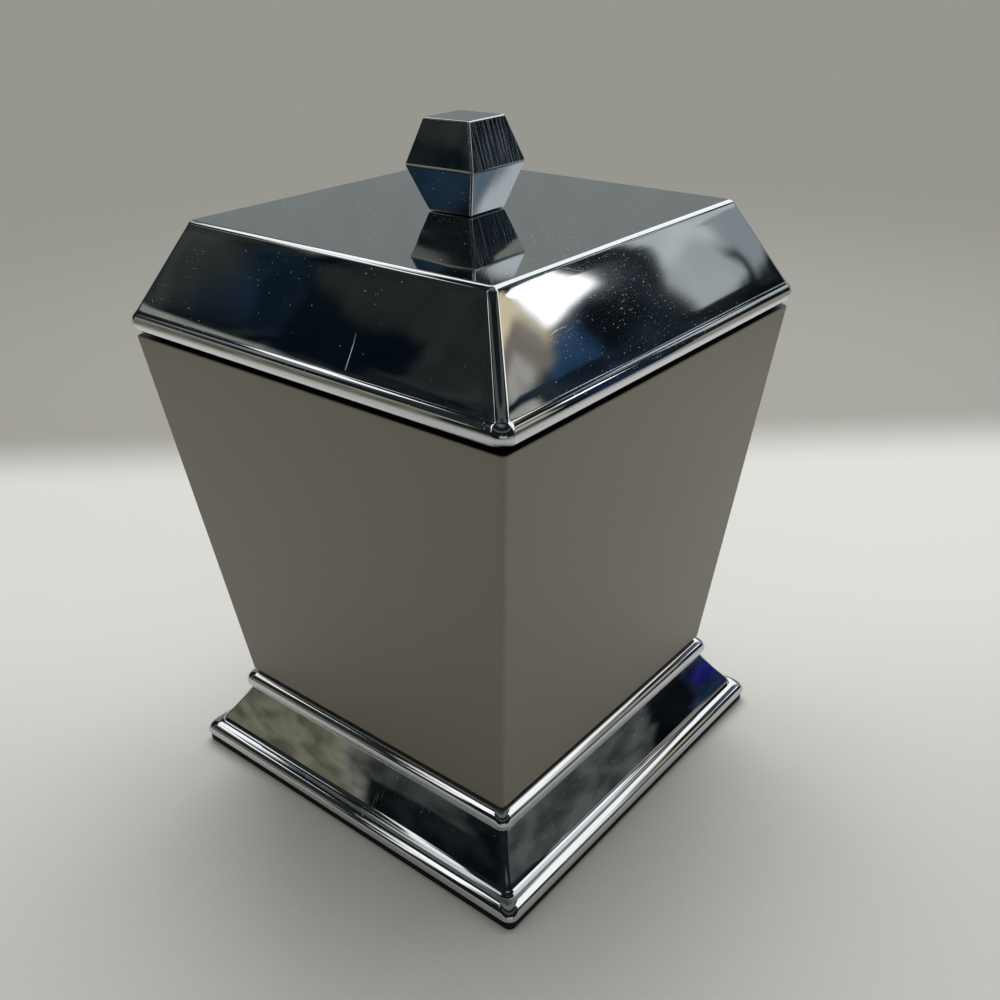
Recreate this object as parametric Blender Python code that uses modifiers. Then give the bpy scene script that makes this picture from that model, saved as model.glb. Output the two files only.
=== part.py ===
"""A square jar for cotton balls: a lacquered body that tapers down to a chrome plinth, under a chrome lid
with a faceted knob. Lengths are in metres, +Z is up, and the origin is under the middle of the foot pad.
"""
import math

import bmesh
import bpy
from mathutils import Matrix, Vector

# Clearances that several pieces share
seat_gap = 0.0003
screw_gap = 0.0003
overrun = 0.002

# Width of the body's mouth, which the plinth's foot matches
jar_width = 0.110

# Foot pad
pad_thickness = 0.0025
pad_inset = 0.0006
pad_edge = 0.0003
pad_corner = 0.0018

# Plinth, from the foot bead up over the cove to the collar bead round the body
foot_face = 0.00044
foot_edge = 0.0003
foot_bead = 0.0029
foot_corner = 0.0024
quirk_width = 0.0005
cove_foot_inset = 0.0039
cove_foot_height = 0.0046
cove_foot_edge = 0.0004
cove_neck_overhang = 0.00095
cove_depth = 0.0003
cove_corner = 0.0006
collar_overhang = 0.0021
collar_bead = 0.0027
collar_corner = 0.0022
collar_drop = 0.0006
plinth_height = 0.0199
plinth_wall = 0.0024
foot_wall = 0.0029
deck_inset = 0.0016
deck_thickness = 0.0026
deck_edge = 0.0003
plinth_inner_corner = 0.001
spigot_height = 0.004
spigot_wall = 0.0016
spigot_gap = 0.0004
spigot_edge = 0.0004

# Body
body_foot_width = 0.0879
body_height = 0.0959
body_wall = 0.0035
body_corner = 0.0007
body_edge = 0.0004
mouth_edge = 0.0006
cavity_corner = 0.003
cavity_floor_edge = 0.002
floor_rise = 0.009
floor_thickness = 0.0026
boss_diameter = 0.008
boss_inset = 0.0127
boss_hole_depth = 0.008

# Lid cover
lid_gap = 0.0005
rim_overhang = 0.001
slope_run = 0.0121
cover_height = 0.0254
cover_wall = 0.0018
rim_bead = 0.003
rim_wall = 0.0032
rim_corner = 0.003
hip_corner = 0.0005
top_edge = 0.0016
cover_inner_corner = 0.0012
ridge_angle = 60.0

# Lid liner and its gasket
gasket_thickness = 0.0008
gasket_edge = 0.0002
flange_thickness = 0.002
flange_gap = 0.0004
flange_edge = 0.0004
flange_corner = 0.001
skirt_depth = 0.009
skirt_wall = 0.0016
skirt_draft = 0.0002
skirt_gap = 0.0006
skirt_edge = 0.0005
skirt_corner = 0.0026
post_diameter = 0.016
recess_diameter = 0.011
recess_depth = 0.005
rib_thickness = 0.0014
rib_height = 0.007
rib_end_gap = 0.006

# Knob
knob_gap = 0.0001
knob_foot_width = 0.0122
knob_waist_width = 0.0192
knob_top_width = 0.0128
knob_lower_height = 0.0102
knob_upper_height = 0.0099
knob_edge = 0.0004
knob_turn = 2.0
knob_hole_depth = 0.009

# Screws and washer
knob_screw_diameter = 0.004
knob_screw_head = 0.0076
knob_screw_head_height = 0.0026
knob_screw_end_gap = 0.001
washer_diameter = 0.0098
washer_thickness = 0.0008
plinth_screw_diameter = 0.003
plinth_screw_head = 0.0056
plinth_screw_head_height = 0.002
plinth_screw_length = 0.0105
screw_chamfer = 0.0004

# Steps of the curves, shading and merging
edge_steps = 3
bead_steps = 10
cove_steps = 10
corner_steps = 4
round_steps = 24
pan_angles = (0, 30, 60)
level_share = 0.9
sharp_angle = 35.0
merge_distance = 0.00001

# Heights, from the surface that the jar stands on
plinth_low = pad_thickness + seat_gap
plinth_top = plinth_low + plinth_height
body_low = plinth_top + seat_gap
body_top = body_low + body_height
floor_low = body_low + floor_rise
floor_top = floor_low + floor_thickness
cover_low = body_top + lid_gap
cover_top = cover_low + cover_height
gasket_low = body_top + seat_gap
liner_low = gasket_low + gasket_thickness + seat_gap
flange_top = liner_low + flange_thickness
knob_low = cover_top + knob_gap
knob_waist = knob_low + knob_lower_height

# Half widths that several pieces share
jar_half = jar_width / 2
body_foot_half = body_foot_width / 2
rim_half = jar_half + rim_overhang
cover_inner_half = rim_half - rim_wall
flange_half = cover_inner_half - flange_gap
boss_offset = body_foot_half - body_wall - boss_inset


def remove_old_objects():
    for thing in list(bpy.data.objects):
        bpy.data.objects.remove(thing, do_unlink=True)


def new_collection(name):
    collection = bpy.data.collections.new(name)
    bpy.context.scene.collection.children.link(collection)
    return collection


def finish(name, colour, metallic, roughness):
    """A plain Principled finish, one for each piece."""
    material = bpy.data.materials.new(name)
    material.use_nodes = True
    shader = material.node_tree.nodes["Principled BSDF"]
    shader.inputs["Base Color"].default_value = (*colour, 1.0)
    shader.inputs["Metallic"].default_value = metallic
    shader.inputs["Roughness"].default_value = roughness
    return material


def add_piece(name, mesh, material):
    mesh.materials.append(material)
    mesh.shade_smooth()
    mesh.set_sharp_from_angle(angle=math.radians(sharp_angle))
    piece = bpy.data.objects.new(name, mesh)
    jar.objects.link(piece)
    return piece


def soften(points, closed):
    """Turns (half width, height, radius) points into an outline whose corners are arcs of those radii."""
    outline = []
    for index, (across, up, radius) in enumerate(points):
        corner = Vector((across, up))
        ends = not closed and index in (0, len(points) - 1)
        if radius == 0 or ends:
            outline.append(corner)
            continue
        back = (Vector(points[index - 1][:2]) - corner).normalized()
        on = (Vector(points[(index + 1) % len(points)][:2]) - corner).normalized()
        half_turn = back.angle(on) / 2
        centre = corner + (back + on).normalized() * radius / math.sin(half_turn)
        start = corner + back * radius / math.tan(half_turn) - centre
        end = corner + on * radius / math.tan(half_turn) - centre
        sweep = start.angle_signed(end)
        for step in range(edge_steps + 1):
            angle = -sweep * step / edge_steps
            cosine, sine = math.cos(angle), math.sin(angle)
            turned = Vector((start.x * cosine - start.y * sine, start.x * sine + start.y * cosine))
            outline.append(centre + turned)
    return [(point.x, point.y) for point in outline]


def arc(centre, radius, start, end, steps):
    """Points of an arc from one angle to another, in degrees up from the level that faces outwards."""
    points = []
    for step in range(steps + 1):
        angle = math.radians(start + (end - start) * step / steps)
        points.append((centre[0] + radius * math.cos(angle), centre[1] + radius * math.sin(angle)))
    return points


def bow(start, end, depth, steps):
    """Points of a shallow arc between two points, which sags by depth to the left of the way between them."""
    start, end = Vector(start), Vector(end)
    chord = end - start
    side = Vector((-chord.y, chord.x)).normalized()
    points = []
    for step in range(steps + 1):
        share = step / steps
        sag = depth * 4 * share * (1 - share)
        points.append(tuple(start + chord * share + side * sag))
    return points


def rounded_square(mesh_maker, half, up, radius):
    """Points of a level square with rounded corners, in order round it."""
    ring = []
    middle = half - radius
    for quarter, (x, y) in enumerate([(middle, middle), (-middle, middle), (-middle, -middle), (middle, -middle)]):
        for step in range(corner_steps + 1):
            angle = math.tau * (quarter + step / corner_steps) / 4
            ring.append(mesh_maker.verts.new((x + radius * math.cos(angle), y + radius * math.sin(angle), up)))
    return ring


def square_moulding(name, stretches, material, closed=False):
    """A loft through level squares whose sizes and corner radii differ from height to height.

    Each stretch is the plan radius of its corners and its (half width, height) points.
    """
    mesh_maker = bmesh.new()
    rings = [rounded_square(mesh_maker, half, up, radius) for radius, points in stretches for half, up in points]
    pairs = list(zip(rings, rings[1:]))
    if closed:
        pairs.append((rings[-1], rings[0]))
    else:
        mesh_maker.faces.new(rings[0])
        mesh_maker.faces.new(rings[-1])
    for first, second in pairs:
        for index in range(len(first)):
            mesh_maker.faces.new((first[index - 1], first[index], second[index], second[index - 1]))
    bmesh.ops.recalc_face_normals(mesh_maker, faces=mesh_maker.faces)
    mesh = bpy.data.meshes.new(name)
    mesh_maker.to_mesh(mesh)
    mesh_maker.free()
    return add_piece(name, mesh, material)


def turn_round(name, outline, material, closed=False):
    """Turns an outline of (radius, height) points, given from the top down its outer side, about Z."""
    mesh_maker = bmesh.new()
    points = [mesh_maker.verts.new((radius, 0, height)) for radius, height in outline]
    pairs = list(zip(points, points[1:]))
    if closed:
        pairs.append((points[-1], points[0]))
    for pair in pairs:
        mesh_maker.edges.new(pair)
    mesh = bpy.data.meshes.new(name)
    mesh_maker.to_mesh(mesh)
    mesh_maker.free()
    piece = add_piece(name, mesh, material)
    turning = piece.modifiers.new("turned", "SCREW")
    turning.steps = turning.render_steps = round_steps
    turning.use_merge_vertices = True
    turning.merge_threshold = merge_distance
    return piece


def helper(name, mesh_maker):
    """An unseen body that cuts or is joined to a piece."""
    mesh = bpy.data.meshes.new(name)
    mesh_maker.to_mesh(mesh)
    mesh_maker.free()
    body = bpy.data.objects.new(name, mesh)
    body.hide_render = True
    body.display_type = "WIRE"
    cutters.objects.link(body)
    return body


def cylinders(name, diameter, low, high, places):
    """Upright cylinders of one size, one at each (x, y) place."""
    mesh_maker = bmesh.new()
    for x, y in places:
        made = bmesh.ops.create_cone(mesh_maker, cap_ends=True, segments=round_steps, radius1=diameter / 2,
                                     radius2=diameter / 2, depth=high - low)
        bmesh.ops.translate(mesh_maker, verts=made["verts"], vec=(x, y, (low + high) / 2))
    return helper(name, mesh_maker)


def box(name, low, high):
    mesh_maker = bmesh.new()
    low, high = Vector(low), Vector(high)
    made = bmesh.ops.create_cube(mesh_maker, size=1)
    bmesh.ops.scale(mesh_maker, verts=made["verts"], vec=high - low)
    bmesh.ops.translate(mesh_maker, verts=made["verts"], vec=(low + high) / 2)
    return helper(name, mesh_maker)


def combine(piece, other, operation):
    step = piece.modifiers.new(other.name, "BOOLEAN")
    step.operation = operation
    step.object = other
    step.solver = "EXACT"


def body_outer_half(height):
    """Half width of the body's outer faces at a height."""
    share = (height - body_low) / body_height
    return body_foot_half + (jar_half - body_foot_half) * share


def body_inner_half(height):
    return body_outer_half(height) - body_wall


def lined(start, end, inset):
    """The line from start to end moved towards the inside of a shell, as two points."""
    start, end = Vector(start), Vector(end)
    run = (end - start).normalized()
    shift = Vector((-run.y, run.x)) * inset
    return start + shift, end + shift


def width_on(line, height):
    """Half width of a slanting line at a height."""
    start, end = line
    return start.x + (end.x - start.x) * (height - start.y) / (end.y - start.y)


def height_on(line, across):
    """Height of a slanting line at a half width."""
    start, end = line
    return start.y + (end.y - start.y) * (across - start.x) / (end.x - start.x)


def four_corners(offset):
    return [(x, y) for x in (-offset, offset) for y in (-offset, offset)]


def make_foot_pad():
    """A sheet of black foam under the plinth, set in a little from its edge."""
    half = jar_half - pad_inset
    outline = soften([(half - pad_corner, 0, 0), (half, 0, pad_edge), (half, pad_thickness, pad_edge),
                      (half - pad_corner, pad_thickness, 0)], closed=False)
    black = finish("black foam", (0.012, 0.012, 0.013), 0.0, 0.85)
    square_moulding("foot_pad", [(pad_corner, outline)], black)


def make_plinth():
    """A hollow moulding: foot bead, quirk, cove and collar bead, with a deck and a spigot for the body."""
    foot_top = plinth_low + foot_face
    bead_centre = (jar_half - foot_bead, foot_top)
    quirk_half = bead_centre[0] - quirk_width
    quirk_angle = 90 + math.degrees(math.asin(quirk_width / foot_bead))
    cove_foot = (jar_half - cove_foot_inset, plinth_low + cove_foot_height)
    collar_centre = (body_foot_half + collar_overhang - collar_bead, plinth_top - collar_drop - collar_bead)
    neck_half = body_foot_half + cove_neck_overhang
    neck_angle = -math.degrees(math.acos((neck_half - collar_centre[0]) / collar_bead))
    collar = arc(collar_centre, collar_bead, 90, neck_angle, bead_steps)
    neck = collar[-1]
    spigot_half = body_inner_half(body_low) - spigot_gap
    spigot_top = plinth_top + spigot_height
    deck_low = plinth_top - deck_thickness

    spigot_inner = spigot_half - spigot_wall
    deck_half = body_foot_half - deck_inset
    deck = soften([(spigot_inner, plinth_top, 0), (spigot_inner, spigot_top, spigot_edge),
                   (spigot_half, spigot_top, spigot_edge), (spigot_half, plinth_top, 0),
                   (deck_half, plinth_top, deck_edge), (deck_half, plinth_top - collar_drop, 0)], closed=False)
    cove = bow(neck, cove_foot, -cove_depth, cove_steps)[1:]
    lip = soften([cove[-2] + (0,), cove[-1] + (cove_foot_edge,), (quirk_half, cove_foot[1] - quirk_width, 0)],
                 closed=False)[1:]
    bead = arc(bead_centre, foot_bead, quirk_angle, 0, bead_steps)
    low_edge = soften([(jar_half, foot_top, 0), (jar_half, plinth_low, foot_edge),
                       (jar_half - foot_wall, plinth_low, 0)], closed=False)[1:]
    under_cove = lined(cove_foot, neck, plinth_wall + cove_depth)
    inner_half = jar_half - foot_wall
    inside = [(inner_half, foot_top), tuple(under_cove[0]), (width_on(under_cove, deck_low), deck_low)]
    stretches = [(plinth_inner_corner, deck), (collar_corner, collar), (cove_corner, cove[:-1]),
                 (foot_corner, lip + bead + low_edge), (plinth_inner_corner, inside)]
    chrome = finish("plinth chrome", (0.58, 0.59, 0.60), 1.0, 0.05)
    plinth = square_moulding("base_plinth", stretches, chrome)
    holes = cylinders("plinth_screw_holes", plinth_screw_diameter + 2 * screw_gap, deck_low - overrun,
                      plinth_top + overrun, four_corners(boss_offset))
    combine(plinth, holes, "DIFFERENCE")


def make_body():
    """The tapering vessel, with a raised floor and four screw bosses hidden inside its foot."""
    floor_half = body_inner_half(floor_top)
    mouth = (body_inner_half(body_top), body_top)
    rim = (body_outer_half(body_top), body_top)
    cavity = soften([(floor_half - cavity_corner, floor_top, 0), (floor_half, floor_top, cavity_floor_edge),
                     mouth + (mouth_edge,), rim + (0,)], closed=False)[:-1]
    outside = soften([mouth + (0,), rim + (body_edge,), (body_outer_half(body_low), body_low, body_edge),
                      (body_inner_half(body_low), body_low, 0)], closed=False)[1:]
    under_floor = [(body_inner_half(floor_low), floor_low)]
    stretches = [(cavity_corner, cavity), (body_corner, outside + under_floor)]
    lacquer = finish("taupe lacquer", (0.127, 0.118, 0.098), 0.0, 0.38)
    body = square_moulding("body_shell", stretches, lacquer)
    places = four_corners(boss_offset)
    bosses = cylinders("body_bosses", boss_diameter, body_low, (floor_low + floor_top) / 2, places)
    combine(body, bosses, "UNION")
    holes = cylinders("body_boss_holes", plinth_screw_diameter + 2 * screw_gap, body_low - overrun,
                      body_low + boss_hole_depth, places)
    combine(body, holes, "DIFFERENCE")


def make_lid_cover():
    """The chrome cover: a flat top, four sloping sides and a rolled rim, hollow underneath."""
    bead_centre = (rim_half - rim_bead, cover_low + rim_bead)
    bead = arc(bead_centre, rim_bead, ridge_angle, -90, bead_steps)
    ridge = bead[0]
    top_half = rim_half - slope_run
    shoulder = soften([(0, cover_top, 0), (top_half, cover_top, top_edge), ridge + (0,)], closed=False)[1:-1]
    slope_inside = lined(ridge, (top_half, cover_top), cover_wall)
    ceiling = cover_top - cover_wall
    inside = [(cover_inner_half, cover_low), (cover_inner_half, height_on(slope_inside, cover_inner_half)),
              (width_on(slope_inside, ceiling), ceiling)]
    stretches = [(hip_corner, shoulder + [ridge]), (rim_corner, bead[1:]), (cover_inner_corner, inside)]
    chrome = finish("lid chrome", (0.58, 0.59, 0.60), 1.0, 0.05)
    cover = square_moulding("lid_cover", stretches, chrome)
    hole = cylinders("cover_screw_hole", knob_screw_diameter + 2 * screw_gap, ceiling - overrun,
                     cover_top + overrun, [(0, 0)])
    combine(cover, hole, "DIFFERENCE")


def make_lid_liner():
    """The moulded insert: a flange inside the rim, a skirt that finds the mouth, and a ribbed post."""
    skirt_low = liner_low - skirt_depth
    skirt_half = body_inner_half(skirt_low) - skirt_gap
    root_half = skirt_half + skirt_draft
    post_top = cover_top - cover_wall - seat_gap
    inner_half = skirt_half - skirt_wall
    under = [(inner_half - skirt_draft, liner_low, 0), (inner_half, skirt_low, skirt_edge),
             (skirt_half, skirt_low, skirt_edge), (root_half, liner_low, 0)]
    flange = [(root_half, liner_low, 0), (flange_half, liner_low, flange_edge),
              (flange_half, flange_top, flange_edge), (flange_half - rib_end_gap, flange_top, 0)]
    stretches = [(skirt_corner, soften(under, closed=False)),
                 (flange_corner, soften(flange, closed=False)[1:])]
    plastic = finish("black moulded plastic", (0.02, 0.02, 0.021), 0.0, 0.45)
    liner = square_moulding("lid_liner", stretches, plastic)
    middle = (liner_low + flange_top) / 2
    combine(liner, cylinders("liner_post", post_diameter, middle, post_top, [(0, 0)]), "UNION")
    reach = flange_half - rib_end_gap
    rib_top = flange_top + rib_height
    across = rib_thickness / 2
    combine(liner, box("liner_rib_x", (-reach, -across, middle), (reach, across, rib_top)), "UNION")
    combine(liner, box("liner_rib_y", (-across, -reach, middle), (across, reach, rib_top)), "UNION")
    recess = cylinders("liner_screw_recess", recess_diameter, liner_low - overrun, liner_low + recess_depth,
                       [(0, 0)])
    combine(liner, recess, "DIFFERENCE")
    hole = cylinders("liner_screw_hole", knob_screw_diameter + 2 * screw_gap, liner_low, post_top + overrun,
                     [(0, 0)])
    combine(liner, hole, "DIFFERENCE")


def make_lid_gasket():
    """A thin black ring round the skirt, between the flange and the body's rim."""
    skirt_root = body_inner_half(liner_low - skirt_depth) - skirt_gap + skirt_draft
    inner = skirt_root + seat_gap
    gasket_top = gasket_low + gasket_thickness
    outline = soften([(flange_half, gasket_low, gasket_edge), (flange_half, gasket_top, gasket_edge),
                      (inner, gasket_top, 0), (inner, gasket_low, 0)], closed=True)
    rubber = finish("black rubber", (0.013, 0.013, 0.014), 0.0, 0.7)
    square_moulding("lid_gasket", [(skirt_corner, outline)], rubber, closed=True)


def make_knob():
    """Two square frustums on a common waist, cut from one block, with a blind hole for the screw."""
    foot, waist, top = (width / math.sqrt(2) for width in (knob_foot_width, knob_waist_width, knob_top_width))
    mesh_maker = bmesh.new()
    bmesh.ops.create_cone(mesh_maker, cap_ends=True, segments=4, radius1=foot, radius2=waist,
                          depth=knob_lower_height)
    bmesh.ops.translate(mesh_maker, verts=mesh_maker.verts, vec=(0, 0, (knob_low + knob_waist) / 2))
    upper = [face for face in mesh_maker.faces if face.normal.z > level_share]
    raised = bmesh.ops.extrude_face_region(mesh_maker, geom=upper)["geom"]
    bmesh.ops.delete(mesh_maker, geom=upper, context="FACES")
    raised = [part for part in raised if isinstance(part, bmesh.types.BMVert)]
    bmesh.ops.scale(mesh_maker, verts=raised, vec=(top / waist, top / waist, 1))
    bmesh.ops.translate(mesh_maker, verts=raised, vec=(0, 0, knob_upper_height))
    bmesh.ops.rotate(mesh_maker, verts=mesh_maker.verts, matrix=Matrix.Rotation(math.tau / 8, 3, "Z"))
    bmesh.ops.recalc_face_normals(mesh_maker, faces=mesh_maker.faces)
    mesh = bpy.data.meshes.new("lid_knob")
    mesh_maker.to_mesh(mesh)
    mesh_maker.free()
    knob = add_piece("lid_knob", mesh, finish("knob chrome", (0.60, 0.61, 0.62), 1.0, 0.05))
    knob.rotation_euler.z = math.radians(knob_turn)
    rounding = knob.modifiers.new("rounded edges", "BEVEL")
    rounding.width = knob_edge
    rounding.segments = edge_steps
    hole = cylinders("knob_screw_hole", knob_screw_diameter + 2 * screw_gap, knob_low - overrun,
                     knob_low + knob_hole_depth, [(0, 0)])
    combine(knob, hole, "DIFFERENCE")


def screw_outline(tip, shoulder, low, diameter, head):
    """Outline of a pan-head screw that points up, from its tip down to the crown of its head."""
    shaft, rim = diameter / 2, head / 2
    crown = [(rim * math.cos(math.radians(angle)), shoulder + (low - shoulder) * math.sin(math.radians(angle)))
             for angle in pan_angles]
    return [(0, tip), (shaft - screw_chamfer, tip), (shaft, tip - screw_chamfer), (shaft, shoulder),
            *crown, (0, low)]


def make_screws():
    steel = finish("zinc plated steel", (0.45, 0.46, 0.47), 1.0, 0.3)
    washer_top = liner_low + recess_depth - seat_gap
    washer_low = washer_top - washer_thickness
    hole = knob_screw_diameter / 2 + screw_gap
    ring = [(washer_diameter / 2, washer_top), (washer_diameter / 2, washer_low), (hole, washer_low),
            (hole, washer_top)]
    turn_round("knob_washer", ring, steel, closed=True)
    shoulder = washer_low - seat_gap
    tip = knob_low + knob_hole_depth - knob_screw_end_gap
    outline = screw_outline(tip, shoulder, shoulder - knob_screw_head_height, knob_screw_diameter,
                            knob_screw_head)
    turn_round("knob_screw", outline, steel)
    shoulder = plinth_top - deck_thickness - seat_gap
    outline = screw_outline(shoulder + plinth_screw_length, shoulder, shoulder - plinth_screw_head_height,
                            plinth_screw_diameter, plinth_screw_head)
    for number, (x, y) in enumerate(four_corners(boss_offset), start=1):
        screw = turn_round(f"plinth_screw_{number}", outline, steel)
        screw.location = (x, y, 0)


remove_old_objects()
jar = new_collection("cotton_ball_holder")
cutters = new_collection("cutters")
make_foot_pad()
make_plinth()
make_body()
make_lid_cover()
make_lid_liner()
make_lid_gasket()
make_knob()
make_screws()
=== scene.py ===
"""A square jar for cotton balls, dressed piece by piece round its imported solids.

Lengths are in metres and colours are written as they look on a screen.
"""
import math

import bmesh
import bpy
from mathutils import Matrix, Vector


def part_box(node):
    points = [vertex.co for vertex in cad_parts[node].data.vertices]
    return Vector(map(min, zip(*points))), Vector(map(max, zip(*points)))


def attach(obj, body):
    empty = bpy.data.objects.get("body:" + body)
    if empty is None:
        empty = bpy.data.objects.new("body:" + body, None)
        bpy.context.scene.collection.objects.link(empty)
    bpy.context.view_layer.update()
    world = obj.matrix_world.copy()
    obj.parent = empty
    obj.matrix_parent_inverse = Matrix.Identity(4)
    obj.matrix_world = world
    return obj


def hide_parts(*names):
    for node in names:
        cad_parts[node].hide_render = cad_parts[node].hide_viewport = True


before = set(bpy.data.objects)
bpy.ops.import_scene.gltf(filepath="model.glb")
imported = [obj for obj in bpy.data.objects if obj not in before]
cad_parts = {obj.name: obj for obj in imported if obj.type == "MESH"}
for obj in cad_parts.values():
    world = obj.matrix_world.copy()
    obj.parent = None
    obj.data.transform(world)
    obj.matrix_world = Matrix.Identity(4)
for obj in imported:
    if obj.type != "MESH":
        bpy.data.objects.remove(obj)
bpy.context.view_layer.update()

bpy.context.scene.view_settings.view_transform = "Standard"


# Foot pad
# A square of black EVA foam, cut from sheet and stuck under the plinth. Its skin is matt with a fine
# closed-cell grain, and its cut edge is seen as a thin black line between the chrome and the counter.
def screen_colour(code):
    """A hex colour as seen on a screen, turned to linear light."""
    levels = [int(code[at:at + 2], 16) / 255 for at in (1, 3, 5)]
    linear = [level / 12.92 if level <= 0.04045 else ((level + 0.055) / 1.055) ** 2.4 for level in levels]
    return (*linear, 1.0)


def connect(node, links):
    """Sets sockets, by name or number, to values, or joins them to an output or to a node's first in use."""
    for socket, value in links.items():
        if isinstance(value, bpy.types.Node):
            value = next(output for output in value.outputs if output.enabled)
        if isinstance(value, bpy.types.NodeSocket):
            node.id_data.links.new(value, node.inputs[socket])
        else:
            node.inputs[socket].default_value = value


def add_node(material, kind, links=None, **settings):
    """Adds a shader node of a kind, with its settings and links. A colour mix has its colours at 6 and 7."""
    node = material.node_tree.nodes.new("ShaderNode" + kind)
    for name, value in settings.items():
        setattr(node, name, value)
    connect(node, links or {})
    return node


def new_finish(name, values=None):
    """A Principled finish and its shader, with the values that are the same all over."""
    material = bpy.data.materials.new(name)
    material.use_nodes = True
    shader = material.node_tree.nodes["Principled BSDF"]
    connect(shader, values or {})
    return material, shader


def finished_mesh(name, shape, material, sharp_from=None):
    """Turns a shape into a piece at the origin, smooth but for the edges sharper than an angle in degrees."""
    mesh = bpy.data.meshes.new(name)
    shape.to_mesh(mesh)
    shape.free()
    mesh.materials.append(material)
    mesh.shade_smooth()
    if sharp_from is not None:
        mesh.set_sharp_from_angle(angle=math.radians(sharp_from))
    piece = bpy.data.objects.new(name, mesh)
    bpy.context.scene.collection.objects.link(piece)
    return piece


pad_low, pad_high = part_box("foot_pad")
pad_corner = 0.0018
pad_edge = 0.0004
cell_size = 0.0005

# Foam takes almost no shine: the eye sees black, with the walls between its cells a shade lighter. Patterns
# read places in metres here and further on, so a scale is how many of a pattern's features fit in a metre.
foam, foam_shader = new_finish("black EVA foam", {"Roughness": 0.9, "Specular IOR Level": 0.3})
place = add_node(foam, "TexCoord").outputs["Object"]
cells = add_node(foam, "TexVoronoi", {"Vector": place, "Scale": 1 / cell_size})
shade = add_node(foam, "Mix", {"Factor": cells, 6: screen_colour("#0b0b0c"), 7: screen_colour("#1d1d1f")},
                 data_type="RGBA")
grain = add_node(foam, "Bump", {"Height": cells, "Distance": 0.0001, "Strength": 0.5})
connect(foam_shader, {"Base Color": shade, "Normal": grain})

shape = bmesh.new()
bmesh.ops.create_cube(shape, size=1)
bmesh.ops.scale(shape, verts=shape.verts, vec=pad_high - pad_low)
bmesh.ops.translate(shape, verts=shape.verts, vec=(pad_low + pad_high) / 2)
upright = [edge for edge in shape.edges if abs(edge.verts[0].co.z - edge.verts[1].co.z) > pad_edge]
bmesh.ops.bevel(shape, geom=upright, affect="EDGES", offset=pad_corner, segments=8, profile=0.5, material=-1)
rims = [edge for edge in shape.edges if abs(edge.verts[0].co.z - edge.verts[1].co.z) < pad_edge / 2]
bmesh.ops.bevel(shape, geom=rims, affect="EDGES", offset=pad_edge, segments=3, profile=0.5, material=-1)
pad = finished_mesh("foam_pad", shape, foam, sharp_from=50)
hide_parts("foot_pad")
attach(pad, "jar")


# Plinth
# One hollow moulding with a foot bead, a shallow cove and a collar bead round the body, mitred at its
# corners. It is zinc alloy, polished and then plated with bright chrome, so it mirrors the room.
def start_outline(half, up):
    """A shape with the first point of an outline, and the layer that keeps the radii of its corners."""
    shape = bmesh.new()
    shape.edges.layers.float.new("bevel_weight_edge")
    return shape, shape.verts.new((half, 0, up))


def draw_to(shape, last, half, up):
    """Runs the outline straight on to a half width and a height, and returns the new end."""
    end = bmesh.ops.extrude_vert_indiv(shape, verts=[last])["verts"][0]
    end.co = (half, 0, up)
    return end


def draw_round(shape, last, half, up, turn, fineness=6):
    """Carries the outline on round a centre by an angle, clockwise if positive, in steps of a few degrees."""
    swept = bmesh.ops.spin(shape, geom=[last], cent=(half, 0, up), axis=(0, 1, 0), angle=math.radians(turn),
                           steps=max(3, round(abs(turn) / fineness)))
    return next(part for part in swept["geom_last"] if isinstance(part, bmesh.types.BMVert))


def ease(shape, corners, size, segments=4):
    """Rounds corners of the outline, starting at a distance before each."""
    bmesh.ops.bevel(shape, geom=corners, affect="VERTICES", offset=size, segments=segments, profile=0.5,
                    material=-1)


def mark_corner(shape, radius):
    """The edges drawn since the last mark get this radius where their mitre turns the corner of the plan."""
    radii = shape.edges.layers.float["bevel_weight_edge"]
    for edge in shape.edges:
        if edge[radii] == 0:
            edge[radii] = radius


def carry_round(name, shape, material):
    """Shears an outline on to its mitre, carries it round a square, closes it and rounds the mitres."""
    sharp_from = 40
    onto_mitre = Matrix(((1, 0, 0, 0), (1, 1, 0, 0), (0, 0, 1, 0), (0, 0, 0, 1)))
    bmesh.ops.transform(shape, verts=shape.verts, matrix=onto_mitre)
    bmesh.ops.spin(shape, geom=shape.verts[:] + shape.edges[:], cent=(0, 0, 0), axis=(0, 0, 1),
                   angle=math.tau, steps=4, use_merge=True)
    bmesh.ops.holes_fill(shape, edges=shape.edges, sides=0)
    bmesh.ops.recalc_face_normals(shape, faces=shape.faces)
    piece = finished_mesh(name, shape, material)
    rounding = piece.modifiers.new("rounded mitres", "BEVEL")
    rounding.limit_method = "WEIGHT"
    rounding.width = 1  # times the radius that each edge keeps as its weight
    rounding.segments = 8
    rounding.use_clamp_overlap = False
    rounded = piece.evaluated_get(bpy.context.evaluated_depsgraph_get())
    piece.data = bpy.data.meshes.new_from_object(rounded)
    piece.modifiers.clear()
    piece.data.name = name
    piece.data.set_sharp_from_angle(angle=math.radians(sharp_from))
    flat_sides = piece.modifiers.new("flat sides stay flat", "WEIGHTED_NORMAL")
    flat_sides.keep_sharp = True
    flat_sides.weight = 100
    return piece


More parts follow.
